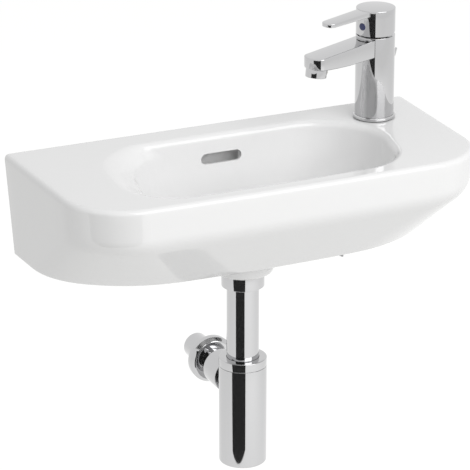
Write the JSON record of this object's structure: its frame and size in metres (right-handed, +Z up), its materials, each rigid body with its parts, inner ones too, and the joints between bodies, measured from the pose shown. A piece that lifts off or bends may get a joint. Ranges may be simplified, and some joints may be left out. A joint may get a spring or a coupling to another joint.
{
  "type": "wall hung basin",
  "caption": "Compact wall hung ceramic hand basin with a side-mounted single-lever mixer tap, pop-up waste and chromed bottle trap.",
  "frame": {"origin": "midway between the two wall bolt holes, on the back face of the ceramic", "axes": "+X along the wall, towards the tap; +Y into the wall; +Z up"},
  "size_m": [0.4988, 0.2728, 0.5115],
  "materials": {
    "glaze": "gloss",
    "chrome": "polished",
    "rubber": "matte",
    "inner_plastic": "satin",
    "zinc_steel": "satin",
    "brass": "satin",
    "indicator": "gloss"
  },
  "bodies": {
    "base": {"basin": "glaze", "tap_gasket": "rubber", "base_ring": "chrome", "tap_body": "chrome", "mounting_stud": "zinc_steel", "clamp_pad": "rubber", "clamp_plate": "zinc_steel", "stud_nut": "zinc_steel", "aerator_housing": "chrome", "aerator_insert": "inner_plastic", "aerator_seal": "rubber", "cartridge_seal": "rubber", "cartridge_housing": "inner_plastic", "cartridge_nut": "brass", "dome_cover": "chrome", "ball_seat": "inner_plastic", "ball_nut": "chrome", "waste_flange": "chrome", "flange_seal": "rubber", "waste_body": "chrome", "lower_gasket": "rubber", "back_nut": "chrome", "inlet_tube": "chrome", "slip_nut": "chrome", "slip_washer": "rubber", "bottle_body": "chrome", "cleaning_plug": "chrome", "cleaning_seal": "rubber", "outlet_nut": "chrome", "outlet_washer": "rubber", "outlet_pipe": "chrome", "wall_rosette": "chrome"},
    "carrier": {"cartridge_carrier": "inner_plastic", "stem_pin": "zinc_steel"},
    "handle_set": {"cartridge_stem": "brass", "handle": "chrome", "set_screw": "zinc_steel", "indicator_plug": "indicator"},
    "rod": {"lift_rod": "chrome", "pull_knob": "chrome", "rod_strap": "chrome", "strap_screw": "chrome"},
    "tipping_lever": {"pop_up_lever": "chrome"},
    "plug": {"plug_stem": "chrome", "plug_cap": "chrome", "plug_seal": "rubber"}
  },
  "joints": [
    {"name": "handle_turn", "type": "hinge", "parent": "base", "child": "carrier", "pos_m": [0.1827, -0.0544, 0.14], "axis": [0, 0, 1], "range_deg": [-50, 50]},
    {"name": "handle_lift", "type": "hinge", "parent": "carrier", "child": "handle_set", "pos_m": [0.1827, -0.0544, 0.14], "axis": [-0.3502, 0.9367, 0], "range_deg": [0, 14]},
    {"name": "rod_pull", "type": "slide", "parent": "base", "child": "rod", "axis": [0.3204, 0.1198, 0.9397], "range_m": [0, 0.034]},
    {"name": "lever_tilt", "type": "hinge", "parent": "base", "child": "tipping_lever", "pos_m": [0.02871, -0.08692, -0.074], "axis": [0.1406, -0.9901, 0], "range_deg": [0, 16.85]},
    {"name": "plug_slide", "type": "slide", "parent": "base", "child": "plug", "axis": [0, 0, -1], "range_m": [0, 0.0085]}
  ],
  "couplings": [
    {"joint": "lever_tilt", "follows": "rod_pull", "rad_per_m": 8.6435},
    {"joint": "plug_slide", "follows": "rod_pull", "ratio": 0.24976}
  ]
}
